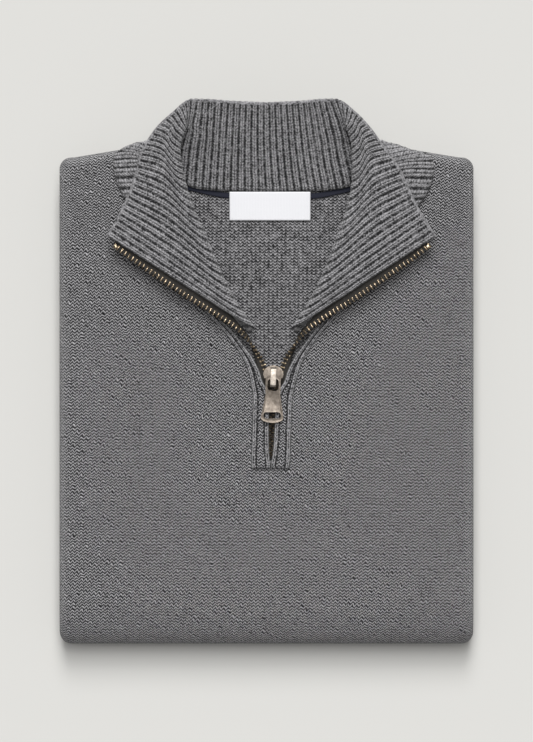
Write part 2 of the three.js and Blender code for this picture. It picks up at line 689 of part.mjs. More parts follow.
const LABEL = { x: 2.5, y: 118.7, width: 58.3, height: 20.5, wall: 0.6, tilt: 11.5 };
function makeLabel() {
  const c = (LABEL.tilt * Math.PI) / 180;
  const z0 = BACK_TOP + GAP + 0.35;
  const xs = [-0.5, -0.25, 0, 0.25, 0.5].map((s) => LABEL.x + s * LABEL.width);
  const grid = (deep) => [0, 0.5, 1].map((s) => xs.map((x) =>
    lifted([x, LABEL.y + (s - 0.5) * LABEL.height, z0 + s * LABEL.height * Math.tan(c) - deep])));
  return solid(between(grid(-LABEL.wall), grid(0), xs.map((x, j) => j)));
}

const LOOKS = {
  wool: { color: 0x6d6a6e, roughness: 0.95, metalness: 0 },
  rib: { color: 0x727074, roughness: 0.95, metalness: 0 },
  tape: { color: 0x1c1d24, roughness: 0.85, metalness: 0 },
  label: { color: 0xf3f2f5, roughness: 0.7, metalness: 0 },
  metal: { color: 0x8a7b6c, roughness: 0.35, metalness: 1 },
};

const pieces = [
  ["front", makeFront(), "wool"],
  ["back", makeBack(), "wool"],
  ["hidden_layers", makeHidden(), "wool"],
  ["collar", makeCollar(), "rib"],
  ["placket", makePlacket(), "wool"],
  ["neck_tape", makeNeckTape(), "tape"],
  ["label", makeLabel(), "label"],
  ["zip_tape_left", makeTape(-1), "tape"],
  ["zip_tape_right", makeTape(1), "tape"],
  ["zip_slider", slider, "metal"],
  ["pull_tab", tab, "metal"],
];

// The part's origin is under the middle of its bounding box.
const box = new THREE.Box3();
const meshes = pieces.map(([name, made, look]) => {
  const geometry = geometryOf(made);
  geometry.computeBoundingBox();
  box.union(geometry.boundingBox);
  const mesh = new THREE.Mesh(geometry, new THREE.MeshStandardMaterial(LOOKS[look]));
  mesh.name = name;
  return mesh;
});
const centre = box.getCenter(new THREE.Vector3());
const part = new THREE.Group();
part.name = "quarter_zip_sweater";
for (const mesh of meshes) {
  mesh.geometry.translate(-centre.x, -centre.y, -box.min.z);
  part.add(mesh);
}

export default part;
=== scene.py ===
# %% [markdown]
# # A quarter zip sweater, folded
#
# A knitted sweater lies folded on a pale table, front up, seen from straight above. The CAD model already
# has its true shape in plain solids. This lesson dresses it: every piece of cloth becomes a thin sheet with
# its own knit, the zip gets its metal teeth, and the slider gets its worn metal.
#
# The first step loads the CAD model as a fixed frame. Cloth may stand only a few millimetres outside it.

# %% Load the frame
import math

import bmesh
import bpy
import numpy as np
from mathutils import Matrix, Vector


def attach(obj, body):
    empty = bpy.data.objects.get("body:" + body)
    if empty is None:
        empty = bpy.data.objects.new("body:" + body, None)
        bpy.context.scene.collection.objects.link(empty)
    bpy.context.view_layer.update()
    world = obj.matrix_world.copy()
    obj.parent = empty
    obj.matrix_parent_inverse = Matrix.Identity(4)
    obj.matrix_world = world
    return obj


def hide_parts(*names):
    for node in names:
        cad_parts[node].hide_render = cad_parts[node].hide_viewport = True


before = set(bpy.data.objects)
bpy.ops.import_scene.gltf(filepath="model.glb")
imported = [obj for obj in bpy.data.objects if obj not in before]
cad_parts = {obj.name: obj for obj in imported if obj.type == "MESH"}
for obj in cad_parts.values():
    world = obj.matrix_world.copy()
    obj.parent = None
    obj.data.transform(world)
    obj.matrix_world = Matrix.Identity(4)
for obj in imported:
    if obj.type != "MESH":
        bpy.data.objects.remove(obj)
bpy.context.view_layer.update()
print("nodes:", sorted(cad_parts))

# %% [markdown]
# ## The camera
#
# The picture is taken from straight above with a long lens, so that nothing leans. A perspective camera
# five metres up does the same. The picture shows 534 mm of the table from top to bottom, measured at the
# height of the sweater's front.

# %% Set up the camera
LENS = 350
SENSOR = 36
PICTURE_HEIGHT = 0.5342
FRONT_HEIGHT = 0.0375
CENTRE_Y = -0.000444

camera_data = bpy.data.cameras.new("camera")
camera_data.lens = LENS
camera_data.sensor_width = SENSOR
camera_data.clip_end = 50
camera = bpy.data.objects.new("camera", camera_data)
camera.location = (0, -CENTRE_Y, FRONT_HEIGHT + PICTURE_HEIGHT * LENS / SENSOR)
bpy.context.collection.objects.link(camera)
bpy.context.scene.camera = camera
print("camera height:", round(camera.location.z, 3))

# %% [markdown]
# ## Light and table
#
# The shadow below the lower edge is about as long as the stack is high, soft, and fades evenly, and there is
# none above the collar, while the shadows at the sides are narrow. A tall, slim soft box over the picture's
# upper half does that. Three sun lamps, one above another, stand for it, because sun lamps light the whole
# table evenly, which an area lamp near the sweater wouldn't. The sky adds a little from all round.

# %% Light the table
SKY = 0.24
SOFT_BOX = {
    "elevation": [43, 60, 80],
    "width": [22, 24, 26],
    "share": [0.30, 0.31, 0.32],
}
TABLE_TONE = (0.650, 0.644, 0.620, 1)

scene = bpy.context.scene
scene.view_settings.view_transform = "Standard"
world = bpy.data.worlds.new("studio")
world.use_nodes = True
world.node_tree.nodes["Background"].inputs["Color"].default_value = (1, 1, 1, 1)
world.node_tree.nodes["Background"].inputs["Strength"].default_value = SKY
scene.world = world

for elevation, width, share in zip(*SOFT_BOX.values()):
    height = math.sin(math.radians(elevation))
    lamp_data = bpy.data.lights.new(f"soft_box_{elevation}", "SUN")
    lamp_data.energy = share * math.pi / height
    lamp_data.angle = math.radians(width)
    lamp = bpy.data.objects.new(f"soft_box_{elevation}", lamp_data)
    toward_lamp = Vector((0, math.cos(math.radians(elevation)), height))
    lamp.rotation_euler = toward_lamp.to_track_quat("Z", "Y").to_euler()
    bpy.context.collection.objects.link(lamp)
    print(lamp.name, "energy", round(lamp_data.energy, 2))

# %% [markdown]
# ## Writing shader maths as Python
#
# A knit is drawn by sums, so its material is mostly maths. This small class wraps a node's socket, so that
# an ordinary expression such as `1 - height * 0.5` adds the Math nodes for it. Every other node comes from
# one method, which sets the node's options first and then its inputs.

# %% Wrap a socket
class Shade:
    """A number that varies over a surface."""

    def __init__(self, finish, socket):
        self.finish = finish
        self.socket = socket

    def maths(self, operation, *values):
        inputs = dict(enumerate(values))
        return self.finish.node("Math", {"operation": operation}, inputs)

    def __add__(self, other):
        return self.maths("ADD", self, other)

    def __radd__(self, other):
        return self.maths("ADD", other, self)

    def __sub__(self, other):
        return self.maths("SUBTRACT", self, other)

    def __rsub__(self, other):
        return self.maths("SUBTRACT", other, self)

    def __mul__(self, other):
        return self.maths("MULTIPLY", self, other)

    def __rmul__(self, other):
        return self.maths("MULTIPLY", other, self)

    def __truediv__(self, other):
        return self.maths("DIVIDE", self, other)

    def fraction(self):
        return self.maths("FRACT", self)

    def size(self):
        return self.maths("ABSOLUTE", self)

    def sine(self):
        return self.maths("SINE", self)

    def cosine(self):
        return self.maths("COSINE", self)

    def at_most(self, other):
        return self.maths("MINIMUM", self, other)

    def at_least(self, other):
        return self.maths("MAXIMUM", self, other)

    def above(self, low, high):
        """0 below low, 1 above high, and smooth between."""
        return self.finish.node(
            "MapRange",
            {"interpolation_type": "SMOOTHSTEP"},
            {"Value": self, "From Min": low, "From Max": high},
        )


# %% Make a material
class Finish:
    """One material and the nodes in it."""

    def __init__(self, name):
        self.material = bpy.data.materials.new(name)
        self.material.use_nodes = True
        self.tree = self.material.node_tree
        self.tree.nodes.clear()

    def node(self, kind, settings=None, inputs=None, output=0):
        made = self.tree.nodes.new("ShaderNode" + kind)
        for name, value in (settings or {}).items():
            setattr(made, name, value)
        for name, value in (inputs or {}).items():
            if isinstance(value, Shade):
                self.tree.links.new(value.socket, made.inputs[name])
            else:
                made.inputs[name].default_value = value
        return Shade(self, made.outputs[output]) if made.outputs else made

    def first_two(self, vector):
        """The first and the second number of a vector."""
        apart = self.node("SeparateXYZ", None, {"Vector": vector})
        return apart, Shade(self, apart.socket.node.outputs[1])

    def pattern(self, name="pattern"):
        """The two numbers of one of the piece's maps, such as how far across and along the cloth."""
        return self.first_two(self.node("UVMap", {"uv_map": name}))

    def place(self):
        """Where on the object a point is, in metres."""
        return self.node("TexCoord", output="Object")

    def mottle(self, scale, detail=2.0, roughness=0.5):
        """Soft noise from 0 to 1 with that many patches to the metre."""
        inputs = {"Vector": self.place(), "Scale": scale, "Detail": detail, "Roughness": roughness}
        return self.node("TexNoise", None, inputs, output="Fac")

    def blend(self, first, second, share):
        """A colour between two, by a share from 0 to 1."""
        settings = {"data_type": "RGBA", "clamp_factor": True}
        return self.node("Mix", settings, {0: share, 6: first, 7: second}, output=2)

    def bump(self, height, distance):
        inputs = {"Height": height, "Distance": distance, "Strength": 1.0}
        return self.node("Bump", None, inputs)

    def surface(self, inputs):
        shader = self.node("BsdfPrincipled", None, inputs)
        self.node("OutputMaterial", None, {"Surface": shader})
        return self.material


def clamp(value):
    return value.at_most(1).at_least(0)


# %% [markdown]
# ## The stitches
#
# Plain knit shows columns of small V shapes, called wales. A V is two legs of yarn that rise outwards from
# the middle of the column. Its height can be drawn from two distances over the cloth: how far across a wale
# a point is, and how far along. Real loops would be too many here, because the front shows about fifteen
# thousand, so they are bump and colour, each 3.1 mm wide and 2.2 mm tall. The yarn wanders a little from its
# column, so that the rows aren't ruled lines.

# %% Draw plain knit
FULL_TURN = 2 * math.pi
WALE = 0.0031
COURSE = 0.00222
WANDER_PATCHES = 140
WANDER_ACROSS = 0.0034
WANDER_ALONG = 0.0032


def v_stitches(across, along, rise=0.8):
    """Height of a column of V stitches; across is 0 in its middle and 1 at its sides."""
    legs = 0.5 + 0.5 * ((along - across * rise) * FULL_TURN).cosine()
    hollow = (across * math.pi).sine()
    return (0.75 + 0.25 * hollow) * legs


def plain_knit(finish, wale=WALE, course=COURSE):
    u, v = finish.pattern()
    wander = finish.mottle(WANDER_PATCHES) - 0.5
    across = ((u + wander * WANDER_ACROSS) / wale).fraction() - 0.5
    return v_stitches(across.size() * 2, (v + wander * WANDER_ALONG) / course)


def purl_knit(finish, wale=WALE, course=COURSE):
    """The inside of plain knit: rows of small arcs."""
    u, v = finish.pattern()
    wander = finish.mottle(WANDER_PATCHES) - 0.5
    wave = ((u / wale + wander * 0.3) * FULL_TURN).cosine()
    rows = ((v / course + wave * 0.28 + wander * 0.3) * FULL_TURN).cosine()
    return (0.5 + 0.5 * rows) * (0.72 + 0.28 * wave)


# %% [markdown]
# ## Heather wool
#
# The yarn is spun from light and dark grey fibres, so the cloth is mottled at the size of one stitch. A fine
# noise gives each leg its own tone and a broad one gives faint patches. The colour also carries painted light
# from the knit's height: the hollows between stitches are painted darker, as the shade among the loops, and
# the tops of the stitches are painted lighter.

# %% Mix the wool
WOOL_DARK = (0.010, 0.010, 0.011, 1)
WOOL_LIGHT = (0.470, 0.462, 0.476, 1)


def wool(name, knit, tone, depth=0.0011, painted_relief_shading=1.0, grain=1.5):
    finish = Finish(name)
    height = knit(finish)
    fleck = finish.mottle(850, detail=1.0, roughness=0.6)
    heather = finish.mottle(300, detail=1.0)
    patch = finish.mottle(60, detail=3.0)
    spots = (fleck - 0.5) * grain + (heather - 0.5) * 0.8 + (patch - 0.5) * 0.2
    # painted shade and highlight: the colour darkens in the knit's hollows and lightens on its tops, by its
    # height
    share = tone + (height - 0.44) * painted_relief_shading + spots
    colour = finish.blend(WOOL_DARK, WOOL_LIGHT, clamp(share))
    normal = finish.bump(height + fleck * 0.3, depth)
    inputs = {"Base Color": colour, "Normal": normal, "Roughness": 0.92, "Specular IOR Level": 0.18}
    inputs["Sheen Weight"] = 0.3
    return finish.surface(inputs)


jersey = wool("jersey_wool", plain_knit, tone=0.135, painted_relief_shading=2.8, grain=3.4)
jersey_inside = wool("jersey_inside", purl_knit, tone=0.39, painted_relief_shading=0.9)
print("wool materials:", jersey.name, jersey_inside.name)

# %% [markdown]
# ## The rib
#
# The collar is knitted one stitch plain and one purl, so plain columns stand up as ribs and purl ones sink
# between them. On the collar's map the first number counts ribs, and the crest of each is at a whole number.
# The second is the distance from the top edge, where the last row is bound off smooth.
# Both legs of the V catch the light, so every rib is painted as two bright lines, and the valleys between
# ribs are painted darker, as shade.

# %% Draw the rib
RIB_COURSE = 0.0022


def rib_knit(shift):
    def knit(finish):
        rib, from_edge = finish.pattern()
        wander = finish.mottle(WANDER_PATCHES) - 0.5
        from_crest = ((rib + 0.5 + shift + wander * 0.12).fraction() - 0.5).size()
        from_leg = ((from_crest - 0.18).size() / 0.18).at_most(1)
        valley = from_crest.above(0.31, 0.48)
        along = (from_edge + wander * 0.0012) / RIB_COURSE - from_crest * 1.6
        stitch = 0.5 + 0.5 * (along * FULL_TURN).cosine()
        # this height also colours the rib: painted highlight on the two legs, painted shade in the valleys
        height = (1 - from_leg * from_leg * 0.75) * (1 - valley * 0.85) * (0.6 + 0.4 * stitch)
        bound = (from_edge + 0.0030).above(0.0006, 0.0018)
        return height * (1 - bound) + bound * 0.6

    return knit


rib_inside = wool("rib_inside", rib_knit(0), tone=0.325, depth=0.0010, painted_relief_shading=0.8)
rib_outside = wool("rib_outside", rib_knit(0.5), tone=0.33, depth=0.0010, painted_relief_shading=0.8)
print("rib materials:", rib_inside.name, rib_outside.name)

# %% [markdown]
# ## Smooth tables
#
# The shapes are given by short tables, in millimetres and in the same words as the CAD part. Values between
# the rows come from a curve that never swings past them, so a table stays in control of its shape.

# %% Read between the rows of a table
def smooth(low, high, value):
    share = np.clip((value - low) / (high - low), 0, 1)
    return share * share * (3 - 2 * share)


def between_rows(xs, rows, x):
    """The value at x on a smooth curve through the rows, which may be numbers or points."""
    xs = np.asarray(xs, float)
    rows = np.asarray(rows, float)
    steps = np.diff(xs)
    wide = (-1,) + (1,) * (rows.ndim - 1)
    slopes = np.diff(rows, axis=0) / steps.reshape(wide)
    before, after = slopes[:-1], slopes[1:]
    a, b = steps[:-1].reshape(wide), steps[1:].reshape(wide)
    turning = before * after <= 0
    first = np.where(turning, 1, before)
    second = np.where(turning, 1, after)
    mean = 3 * (a + b) / ((2 * b + a) / first + (b + 2 * a) / second)
    tangents = np.concatenate([slopes[:1], np.where(turning, 0, mean), slopes[-1:]])
    x = np.clip(np.asarray(x, float), xs[0], xs[-1])
    i = np.clip(np.searchsorted(xs, x) - 1, 0, len(xs) - 2)
    shape = x.shape + (1,) * (rows.ndim - 1)
    h = steps[i].reshape(shape)
    t = ((x - xs[i]) / steps[i]).reshape(shape)
    from_row = (2 * t**3 - 3 * t**2 + 1) * rows[i] + (t**3 - 2 * t**2 + t) * h * tangents[i]
    to_row = (3 * t**2 - 2 * t**3) * rows[i + 1] + (t**3 - t**2) * h * tangents[i + 1]
    return from_row + to_row


MIDDLE = {
    "y": [-70, -33, -1, 60, 95, 118, 133, 160, 200],
    "x": [2.9, 4.0, 5.0, 4.3, 3.8, 2.6, 2.2, 0.4, 0],
}


def middle(y):
    """Where the garment's middle line is at y; it leans a little."""
    return between_rows(MIDDLE["y"], MIDDLE["x"], y)


def raised(points):
    """The folded layers lie 2 mm higher in the middle than at the edges."""
    points = np.array(points, float)
    x, y, z = points[..., 0], points[..., 1], points[..., 2]
    crown = 2 * np.maximum(0, 1 - (x / 150) ** 2) * np.maximum(0, 1 - ((y + 20) / 180) ** 2)
    points[..., 2] = z + crown * smooth(18, 30, z)
    return points


def in_frame(points):
    """From the tables' millimetres to the frame's metres."""
    return (np.asarray(points, float) - (0, CENTRE_Y * 1000, 0)) / 1000


print("middle line at the slider:", float(middle(-1)))

# %% [markdown]
# ## From a grid to a piece of cloth
#
# A knitted panel is a rectangle of stitches, so its mesh starts as a bmesh grid, whose points are then moved
# to where the cloth lies. The same step writes the piece's map: how far across and along the cloth each
# point is. Solidify gives the sheet its thickness.

# %% Lay a grid as cloth
def lay_grid(bm, points, pattern):
    """A grid in bm with its points at points[i, j] and its map at pattern[i, j]."""
    across, down = points.shape[0] - 1, points.shape[1] - 1
    made = bmesh.ops.create_grid(bm, x_segments=across, y_segments=down, size=0.5)
    layer = bm.loops.layers.uv.get("pattern") or bm.loops.layers.uv.new("pattern")
    index = {}
    for vert in made["verts"]:
        i, j = round((vert.co.x + 0.5) * across), round((vert.co.y + 0.5) * down)
        index[vert] = (i, j)
    for vert, (i, j) in index.items():
        vert.co = points[i, j]
    for face in {face for vert in made["verts"] for face in vert.link_faces}:
        for loop in face.loops:
            loop[layer].uv = pattern[index[loop.vert]]
    return index


def finish_piece(name, bm, material):
    """An object at the origin from bm, with one material."""
    mesh = bpy.data.meshes.new(name)
    for face in bm.faces:
        face.smooth = True
    bm.to_mesh(mesh)
    bm.free()
    mesh.materials.append(material)
    made = bpy.data.objects.new(name, mesh)
    bpy.context.collection.objects.link(made)
    return made


WALL = {"front": 0.0019, "back": 0.0018, "collar": 0.0023, "placket": 0.0016, "tape": 0.0009, "label": 0.0006}


def thicken(piece, thickness):
    wall = piece.modifiers.new("wall", "SOLIDIFY")
    wall.thickness = thickness
    wall.offset = -1
    return piece


def lengths_along(points, axis):
    """Distance over the cloth from the first row, along one axis of a grid of points."""
    steps = np.linalg.norm(np.diff(points, axis=axis), axis=-1)
    total = np.cumsum(steps, axis=axis)
    start = np.zeros_like(np.take(total, [0], axis=axis))
    return np.concatenate([start, total], axis=axis)


def on_sweater(piece, slot, *nodes):
    """The piece moves with the sweater and stands for those nodes; slot is not used."""
    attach(piece, "sweater")
    if nodes:
        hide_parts(*nodes)
    return piece


# %% [markdown]
# ## The front
#
# One panel makes everything that shows round the stack: it turns over both sides, over the shoulders at the
# top, and round the bottom fold to its hem underneath. So it is one grid, given by a distance across and a
# distance along, and each point is wrapped round the fold that it lies on. Real folded wool is never flat
# like a board, so faint waves run over it.

# %% Wrap the front round the stack
STACK = 36
SIDE_TURN = 8.5
SIDE_START = 149.3 - SIDE_TURN
TOP_START = 154 - SIDE_TURN
FOLD_REACH = 30
FOLD_Y = -196.9 + FOLD_REACH
HEM_Y = 134
FLAP = 6
TURN_LENGTH = math.pi * SIDE_TURN


def wrapped(across, y, past, bend):
    """Points of the front; past is the distance over the shoulder, bend the angle round the bottom fold."""
    side = np.sign(across)
    over = np.maximum(0, np.abs(across) - SIDE_START)
    gone = np.maximum(over, past)
    angle = np.minimum(np.pi, gone / SIDE_TURN)
    reach = SIDE_TURN * np.sin(angle) - np.maximum(0, gone - TURN_LENGTH)
    depth = SIDE_TURN * (1 - np.cos(angle))
    way = np.arctan2(past, np.maximum(over, 1e-9))
    x = side * (np.minimum(np.abs(across), SIDE_START) + np.where(over > 0, reach * np.cos(way), 0))
    rise = 0.167 * np.clip(139 - np.abs(x), 0, 34) * smooth(90, TOP_START, y) * (bend == 0)
    top_y = y + np.where(past > 0, reach * np.sin(way), 0) + rise
    fold_y = FOLD_Y - (FOLD_REACH - depth) * np.sin(bend)
    fold_z = STACK / 2 + (STACK / 2 - depth) * np.cos(bend)
    turning = (bend > 0) & (bend < np.pi)
    place_y = np.where(turning, fold_y, np.where(bend > 0, y, top_y))
    place_z = np.where(bend > 0, fold_z, STACK - depth)
    return raised(np.stack([x, place_y, place_z], axis=-1))


def front_rows():
    """y, past and bend of each row, from the hem underneath to the back of the shoulders."""
    under = [(y, 0, np.pi) for y in np.linspace(HEM_Y, FOLD_Y + 3, 60)]
    fold = [(FOLD_Y, 0, a) for a in np.linspace(np.pi, 0, 25)[:-1]]
    top = [(y, 0, 0) for y in np.linspace(FOLD_Y, TOP_START, 150)]
    shoulder = [(TOP_START, math.radians(a) * SIDE_TURN, 0) for a in np.linspace(0, 95, 12)[1:]]
    return np.array(under + fold + top + shoulder, float)


def front_columns():
    flat = np.linspace(-SIDE_START, SIDE_START, 119)
    turn = SIDE_START + np.linspace(0, TURN_LENGTH + FLAP, 17)[1:]
    return np.concatenate([-turn[::-1], flat, turn])


rows = front_rows()
columns = front_columns()
across, _ = np.meshgrid(columns, rows[:, 0], indexing="ij")
y, past, bend = (np.broadcast_to(rows[:, k], across.shape) for k in range(3))
front_points = wrapped(across, y, past, bend)
waves = 0.35 * np.sin(front_points[..., 0] / 31 + 1.3) * np.sin(front_points[..., 1] / 47 + 0.4)
waves += 0.25 * np.sin(front_points[..., 0] / 17 + front_points[..., 1] / 63)
on_top = np.cos(np.minimum(bend, np.pi / 2)) * (np.abs(across) < SIDE_START)
front_points[..., 2] += (waves - 0.3) * on_top
print("front grid:", front_points.shape)

# %% [markdown]
# The middle of the front is cut open for the neck and the zip. The faces over the opening are deleted and
# the points round it are moved to the true cut, which the collar and the placket cover.

# %% Cut the neck and sew the front
FRONT_CUT = {
    "y": [-64.5, -19, -8, 0, 10, 19, 27, 36, 44, 62, 88, 111, 129, 146, 157, 175],
    "across": [9.6, 9.8, 12, 14.5, 18.8, 24, 26, 27.5, 30, 42, 62.5, 88, 103, 105, 103, 100],
}
CUT_FOOT = -64.5
UNDER_LAYERS = 18.2
ON_TOP = 30
SNAP = 6

down = lengths_along(front_points, 1)[len(columns) // 2] / 1000
front_map = np.stack(np.broadcast_arrays(columns[:, None] / 1000, down[None, :]), axis=-1)

bm = bmesh.new()
lay_grid(bm, front_points, front_map)


def over_opening(place):
    if place.z < UNDER_LAYERS or place.y < CUT_FOOT:
        return False
    width = between_rows(FRONT_CUT["y"], FRONT_CUT["across"], place.y)
    return abs(place.x - middle(place.y)) < width


gone = [face for face in bm.faces if over_opening(face.calc_center_median())]
bmesh.ops.delete(bm, geom=gone, context="FACES")
for vert in bm.verts:
    if vert.is_boundary and vert.co.z > ON_TOP and vert.co.y > CUT_FOOT + 2.5:
        centre = float(middle(vert.co.y))
        width = float(between_rows(FRONT_CUT["y"], FRONT_CUT["across"], vert.co.y))
        if abs(abs(vert.co.x - centre) - width) < SNAP:
            vert.co.x = centre + math.copysign(width, vert.co.x - centre)
for vert in bm.verts:
    vert.co = in_frame(vert.co)
front_cloth = thicken(finish_piece("front_cloth", bm, jersey), WALL["front"])
on_sweater(front_cloth, "jersey", "front")
print("front faces:", len(front_cloth.data.polygons))

# %% [markdown]
# ## The back and the folded layers
#
# In the open neck the inside of the back panel shows, with the purl side of the knit. Under it lie the folded
# sides and sleeves. Nobody sees more of them than their rounded edges, so they are slabs with full round
# rims, each a cube whose corners and rims are bevelled.

# %% Lay the back panel
BACK_TOP = 31.4
BACK_BOTTOM = -172
BACK_CUT = {
    "across": [0, 32, 51, 62, 75, 88, 98, 144],
    "y": [134, 134.5, 136, 140, 145, 149, 150.4, 148.8],
}
xs = np.linspace(-144, 144, 98)
shares = np.linspace(0, 1, 110)
edge = between_rows(BACK_CUT["across"], BACK_CUT["y"], np.abs(xs))
ys = BACK_BOTTOM + shares[None, :] * (edge[:, None] - BACK_BOTTOM)
flat_xs = np.broadcast_to(xs[:, None], ys.shape)
waves = 0.3 * np.sin(flat_xs / 23 + 0.7) * np.sin(ys / 29) - 0.35
back_points = raised(np.stack([flat_xs, ys, BACK_TOP + waves], axis=-1))
back_map = np.stack([flat_xs, ys], axis=-1) / 1000

bm = bmesh.new()
lay_grid(bm, in_frame(back_points), back_map)
back_cloth = thicken(finish_piece("back_cloth", bm, jersey_inside), WALL["back"])
on_sweater(back_cloth, "jersey", "back")
print("back faces:", len(back_cloth.data.polygons))

# %% Stack the folded layers
SLABS = {
    "half": [144.2, 132, 144.2, 143.4],
    "start": [-170, -184, -170, -170],
    "end": [144, 147.5, 139, 143],
    "low": [21.7, 15, 8.7, 2.5],
    "high": [29.1, 21, 14, 8.3],
}
bm = bmesh.new()
for half, start, end, low, high in zip(*SLABS.values()):
    shape = Matrix.Translation((0, (start + end) / 2, (low + high) / 2))
    shape = shape @ Matrix.Diagonal((2 * half, end - start, high - low, 1))
    cube = bmesh.ops.create_cube(bm, size=1, matrix=shape)
    upright = {e for v in cube["verts"] for e in v.link_edges if abs(e.verts[0].co.z - e.verts[1].co.z) > 1}
    corners = bmesh.ops.bevel(
        bm, geom=list(upright), offset=9, segments=6, profile=0.5, affect="EDGES", material=-1
    )
    walls = {f for f in corners["faces"]} | {f for v in cube["verts"] if v.is_valid for f in v.link_faces}
    rim = {e for f in walls for e in f.edges if abs(e.verts[0].co.z - e.verts[1].co.z) < 0.01}
    bmesh.ops.bevel(
        bm, geom=list(rim), offset=(high - low) * 0.48, segments=5, profile=0.5, affect="EDGES", material=-1
    )
layer = bm.loops.layers.uv.new("pattern")
for face in bm.faces:
    for loop in face.loops:
        loop[layer].uv = (loop.vert.co.x / 1000, (loop.vert.co.y + loop.vert.co.z) / 1000)
for vert in bm.verts:
    vert.co = in_frame(vert.co)
inner_folds = finish_piece("inner_folds", bm, jersey)
on_sweater(inner_folds, "inner_layers", "hidden_layers")
print("folded layers:", len(inner_folds.data.polygons), "faces")

# %% [markdown]
# ## The collar
#
# The collar is one ribbed strip. At the back of the neck it stands and leans back, and towards the front it
# rolls over and lies down as two wings, so that its inside shows on top. A table gives the line of a rib at
# fourteen places: neck seam, underside, roll and top edge. All ribs between come from curves through those.

# %% Draw one rib's line
COLLAR = {
    "rib": [0, 6.25, 10, 12.5, 16, 19.3, 22.3, 25, 27.3, 29.9, 32.4, 34.9, 36.8, 38.5],
    "seam": [
        (0, 129.6, 33.1), (32, 130, 33.1), (51, 131.5, 33.2), (65, 136.5, 33.4), (78, 142, 33.8),
        (93, 149.5, 34.5), (112.5, 157.6, 35.6), (115, 146, 38.3), (110, 129, 38.3), (96, 111, 38.3),
        (69, 88, 38.3), (46, 62, 38.3), (32, 43, 38.5), (16.5, 28.5, 39.8),
    ],
    "under": [
        (0, 148, 38), (30, 149, 38.5), (48, 153, 40.5), (61.5, 159, 43.5), (78, 164, 46),
        (93, 163.5, 45), (101, 160, 45.3), (92, 146, 46), (84, 128, 46), (72, 106, 45.5),
        (53, 83, 44.8), (38, 59, 44.3), (27, 42, 43.5), (15, 29, 43.3),
    ],
    "roll": [
        (0, 170, 44.5), (28, 171, 45.5), (45, 175, 49), (56, 179, 55), (59, 173, 60),
        (62.5, 160, 60), (62, 146, 59.5), (60, 132.5, 58.5), (55.5, 116, 57.5), (48, 97, 56.5),
        (40, 76.5, 55), (30.5, 56, 53.5), (21.5, 41, 51.5), (13.5, 30, 48.6),
    ],
    "edge": [
        (0, 192.8, 50), (26, 193.9, 51.5), (42, 195, 55), (52, 195, 58.5), (65.2, 185.5, 55.5),
        (76.5, 174.5, 53), (84.5, 163.5, 52), (90.5, 154, 51), (95, 143.5, 50.5), (99.5, 132.5, 50.2),
        (104.5, 121.5, 50.1), (109.5, 111.5, 50.2), (114, 104, 50.3), (118.5, 97, 50.3),
    ],
    "turn": [0, 0, 0, 0.15, 0.8, 1, 1, 1, 1, 1, 1, 1, 0.8, 0.4],
    "bow": [0, 0, 0, 0, 0.5, 2.5, 4, 5, 4.5, 4, 3, 1.5, 0.5, 0],
    "skew": [0, -0.5, -2, -2, -1.8, -2.5, -2.5, -1.5, 0, 0, 0, 0, 0, 0],
    "slip": [0, 0, 0, 0, 0.5, 2, 4, 4, 3.3, 2.5, 1.2, 0.3, 0, 0],
    "drop": [0, 0, 0, 0, 0, 2, 3.5, 1.5, 0, 0, 0, 0, 0, 0],
}


def from_collar(key, rib):
    return between_rows(COLLAR["rib"], COLLAR[key], np.abs(rib))


CREST_REACH = 5
FOLD_DEPTH = 9


def toward(start, end):
    flat = np.linalg.norm((end - start)[..., :2], axis=-1, keepdims=True)
    return start + (end - start) * np.minimum(CREST_REACH, flat * 0.4) / np.maximum(flat, 1e-9)


def rib_line(rib):
    """Seven points of each rib's line, from the neck seam to the top edge."""
    seam, under, roll, edge = (from_collar(k, rib) for k in ("seam", "under", "roll", "edge"))
    turn, bow, skew, slip, drop = (from_collar(k, rib) for k in ("turn", "bow", "skew", "slip", "drop"))
    lower = toward(roll, under)
    lower[..., 2] = lower[..., 2] * (1 - turn) + (roll[..., 2] - FOLD_DEPTH * turn) * turn
    crest = toward(roll, edge)
    crest[..., 2] = crest[..., 2] * (1 - turn) + roll[..., 2] * turn
    turned = roll.copy()
    turned[..., 2] -= FOLD_DEPTH / 2 * turn
    way = (edge - crest)[..., :2]
    way = way / np.linalg.norm(way, axis=-1, keepdims=True)
    halfway = (edge + crest) / 2
    halfway[..., 0] -= way[..., 1] * bow
    halfway[..., 1] += way[..., 0] * bow
    halfway[..., 2] = crest[..., 2] * 0.6 + edge[..., 2] * 0.4 + 0.6 * turn
    line = np.stack([seam, under, lower, turned, crest, halfway, edge], axis=-2)
    side = np.where(rib < 0, -1.0, 1.0)[..., None]
    shift = skew[..., None] * [0, 0, 0, 0.3, 0.4, 0.7, 1] + slip[..., None] * [1, 0.6, 0, 0, 0, 0, 0]
    line[..., 0] = middle(line[..., 1]) + side * line[..., 0] + shift
    line[..., 1] -= drop[..., None] * (side > 0) * [0.3, 1, 0, 0, 0, 0, 0]
    return line


